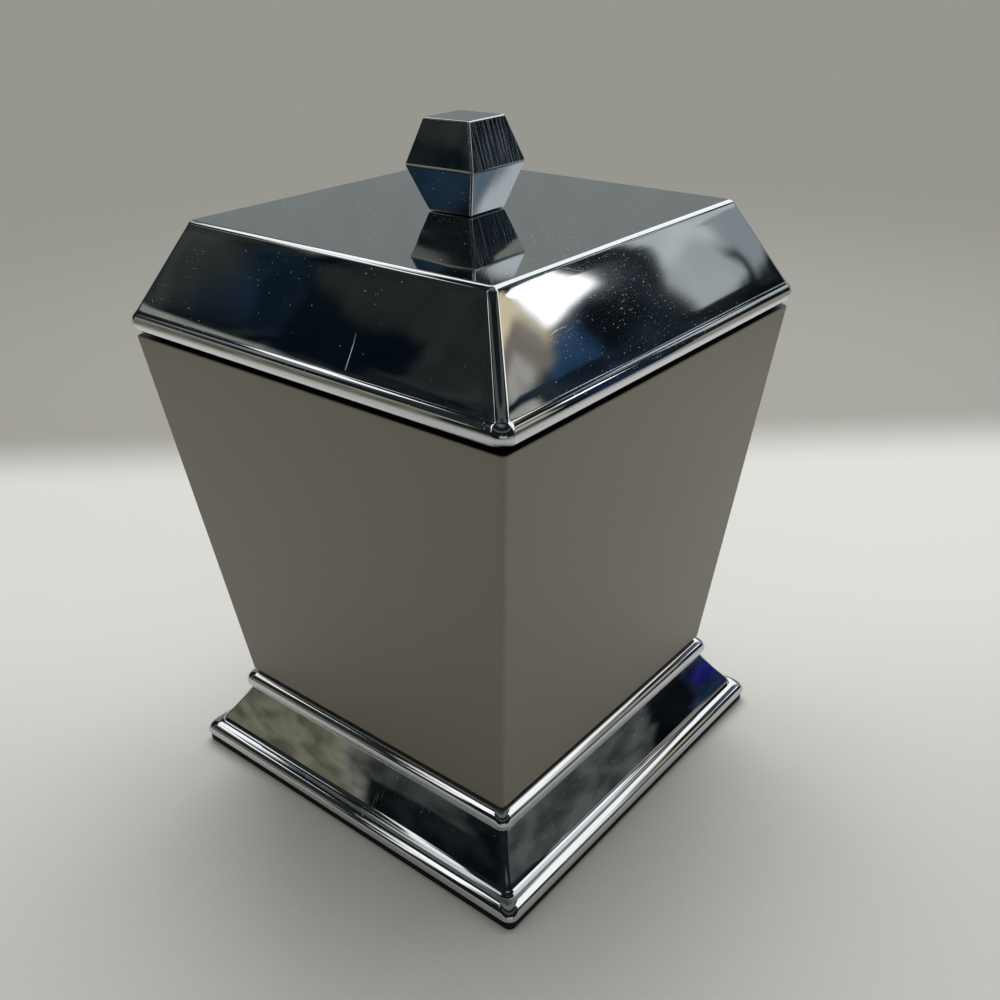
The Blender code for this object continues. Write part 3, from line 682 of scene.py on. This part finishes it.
room = glowing("room round the jar")
paint(room, 0, ("#0b131a", "#262b2c"), (
    # The ceiling
    ("#62676a", "#7d8285", 1.0, (-190, 190), (66, 95), 4.0),
    # The wall behind, and its paler end on the right
    ("#828786", "#858a89", 1.0, (66, 172), (-9, 25), 1.5),
    ("#828786", "#858a89", 1.0, (84, 172), (23, 34), 1.5),
    ("#c2cacb", "#cfd7d8", 1.0, (58.2, 80), (17.2, 25.2), 0.6),
    ("#aab1b1", "#bac1c1", 1.0, (58.2, 61), (15, 18), 0.5),
    ("#979fa4", "#979fa4", 1.0, (61.8, 72), (14.4, 19), 0.5),
    # The dark room to the right of the camera, its window and a warm wall next to that
    ("#16212b", "#27343e", 1.0, (46, 57.2), (5, 20.5), 0.7),
    ("#0b1014", "#10171c", 1.0, (52.6, 56), (17, 19.6), 0.5),
    ("#0b1014", "#0b1014", 1.0, (56.8, 58.4), (18, 25), 0.5),
    ("#22405c", "#2f5278", 1.0, (50, 52.6), (17.2, 19.6), 0.5),
    ("#a5a69c", "#c0c1b8", 1.0, (34, 46.6), (-9, 16.6), 0.6),
    ("#e8d9b2", "#f0e0b8", 1.0, (44, 51.4), (19.6, 26.5), 0.6),
    ("#756d65", "#8d857c", 1.0, (44, 51), (18.6, 21.9), 0.4),
    ("#a29e98", "#bab7b0", 1.0, (45.8, 49), (18.4, 20.5), 0.5),
    ("#ffffff", "#ffffff", 2.2, (51.5, 55), (20.4, 25), 0.3),
    # The dark room to the left of the camera, and the stone counter's end under it
    ("#2f3331", "#3f4341", 1.0, (-156, -145.6), (14, 27), 1.2),
    ("#101c28", "#1c2c3c", 1.0, (-145.2, -141), (20.5, 26), 1.2),
    ("#081018", "#0e161e", 1.0, (-141, -134), (18, 25.4), 0.6),
    ("#272c2c", "#343938", 1.0, (-133.5, -127.5), (20.8, 25.6), 0.5),
    ("#262a27", "#2d312e", 1.0, (-140, -124), (25.4, 36), 0.5),
    ("#1b2d3d", "#2c4256", 1.0, (-146, -137), (37, 41.5), 0.8),
    ("#747673", "#989a96", 1.0, (-156, -143), (28, 38), 1.0),
    ("#858780", "#a0a29a", 1.0, (-150, -126.3), (-9, 16.6), 0.6),
    ("#101416", "#1b2022", 1.0, (-124.5, -114), (-9, 17), 0.8),
    # Something pale behind the camera, and a grey beam above it
    ("#c4c8ca", "#d8dcde", 1.0, (-70, -20), (3, 13), 1.0),
    ("#4b4d4e", "#5d6061", 1.0, (-112, 36), (40, 50), 2.0),
    # Strips of light under the ceiling, that climb on the right
    ("#ffffff", "#ffffff", 1.4, (30, 43), (21, 60), 1.0),
    ("#ffffff", "#ffffff", 1.4, (40, 51), (33, 60), 1.5),
    ("#ffffff", "#ffffff", 1.4, (50, 60), (38.5, 60), 1.5),
    ("#ffffff", "#ffffff", 1.4, (58, 82), (43, 58), 1.5),
    ("#ffffff", "#ffffff", 1.4, (81, 118), (22, 58), 1.5),
    ("#74899a", "#869aa8", 1.0, (60, 67), (29, 36.8), 0.8),
    ("#e6f0f5", "#f6fafc", 1.0, (67.2, 72), (29, 36.8), 0.7),
    # Strips of light that run on over the wall and fall on the left
    ("#ffffff", "#ffffff", 1.5, (112, 180), (39, 50), 2.0),
    ("#ffffff", "#ffffff", 1.5, (-180, -172), (39, 50), 2.0),
    ("#ffffff", "#ffffff", 1.6, (-168, -148), (39.8, 46.4), 1.0),
    ("#ffffff", "#ffffff", 1.3, (-124.4, -121.3), (17.5, 32), 0.6),
    ("#ffffff", "#ffffff", 1.5, (-127, -121.8), (31.5, 38), 0.8),
    ("#ffffff", "#ffffff", 1.5, (-132.6, -125.6), (36.5, 44), 1.0),
    ("#ffffff", "#ffffff", 1.5, (-137.4, -129), (42.5, 51), 1.0),
    ("#ffffff", "#ffffff", 1.5, (-144, -133.5), (49.5, 58), 1.0)))
shape = bmesh.new()
bmesh.ops.create_icosphere(shape, subdivisions=5, radius=dome_radius)
dome = finished_mesh("mirrored_room", shape, room)
dome.visible_camera = dome.visible_diffuse = dome.visible_shadow = dome.visible_transmission = False

things = glowing("low things on the counter")
paint(things, card_eye, ("#0a1014", "#1b2226"), (
    # On the left
    ("#595749", "#858370", 1.0, (-150, -123.4), (-9, 30), 0.6),
    ("#3f403a", "#858378", 1.0, (-124.6, -121.6), (-9, 30), 0.8),
    ("#0a0d0f", "#14181a", 1.0, (-122.6, -119.6), (6.5, 30), 0.6),
    ("#2c312e", "#454b47", 1.0, (-123, -114), (-9, 7.5), 0.8),
    # On the right
    ("#3a3f3f", "#5f6463", 1.0, (20, 41.2), (-9, 30), 0.5),
    ("#090b0e", "#12171c", 1.0, (41.2, 44.2), (-9, 30), 0.4),
    ("#121b2c", "#283a5c", 1.0, (44.4, 50), (-9, 30), 0.5),
    ("#1d1c66", "#2c2a80", 1.0, (44.8, 46.6), (1.2, 6), 0.6)))
for name, first, last, tall in (("low_things_on_the_left", -150, -62, 0.19),
                                ("low_things_on_the_right", 15, 52, 0.13)):
    card = bent_screen(name, things, card_radius, first, last, card_foot, tall)
    card.visible_camera = card.visible_shadow = card.visible_transmission = card.visible_diffuse = False


# Unlit room in front
# The counter's front looks into a room without lamps, so less daylight falls on the jar's left face. The
# screen that stands for that room is met by scattered light only.
unlit = glowing("unlit room in front")
gloom = add_node(unlit, "Emission", {"Color": screen_colour("#1f1f1e")})
add_node(unlit, "OutputMaterial", {"Surface": gloom})
screen = bent_screen("unlit_room_in_front", unlit, radius=1.4, first=-170, last=-55, foot=0.01, tall=0.5)
screen.visible_camera = screen.visible_glossy = screen.visible_shadow = screen.visible_transmission = False


# Light and camera
# Even daylight from a pale room, with one large soft lamp above that isn't mirrored. The camera looks down
# on one corner from the photograph's place, and sees the backdrop's grey beyond the floor.
sky = bpy.data.worlds.new("pale room")
bpy.context.scene.world = sky
sky.use_nodes = True
daylight = sky.node_tree.nodes["Background"]
connect(daylight, {"Color": screen_colour("#c4c1ba"), "Strength": 0.72})
beyond = add_node(sky, "Background", {"Color": backdrop_grey})
looked_at = add_node(sky, "LightPath").outputs["Is Camera Ray"]
chosen = add_node(sky, "MixShader", {0: looked_at, 1: daylight, 2: beyond})
connect(sky.node_tree.nodes["World Output"], {"Surface": chosen})

lamp_place = Vector((-0.25, 0.35, 1.1))
lamp_aim = Vector((0, 0, 0.05))
light = bpy.data.lights.new("ceiling", "AREA")
light.energy = 9
light.size = 0.9
lamp = bpy.data.objects.new("ceiling", light)
lamp.location = lamp_place
lamp.rotation_euler = (lamp_aim - lamp_place).to_track_quat("-Z", "Y").to_euler()
lamp.visible_glossy = False
bpy.context.scene.collection.objects.link(lamp)

# The camera's place, aim and lens were fitted to the corners and edges of the jar in the photograph.
camera_place = Vector((0.1636, -0.1873, 0.2001))
yaw, pitch, roll = (math.radians(angle) for angle in (39.66, 27.57, -0.97))
forward = Vector((-math.sin(yaw) * math.cos(pitch), math.cos(yaw) * math.cos(pitch), -math.sin(pitch)))
level = Vector((math.cos(yaw), math.sin(yaw), 0))
upward = level.cross(forward)
right = level * math.cos(roll) + upward * math.sin(roll)
up = upward * math.cos(roll) - level * math.sin(roll)
lens = bpy.data.cameras.new("camera")
lens.sensor_width = 36
lens.lens = 39.09
camera = bpy.data.objects.new("camera", lens)
camera.matrix_world = Matrix((right, up, -forward)).transposed().to_4x4()
camera.location = camera_place
bpy.context.scene.collection.objects.link(camera)
bpy.context.scene.camera = camera
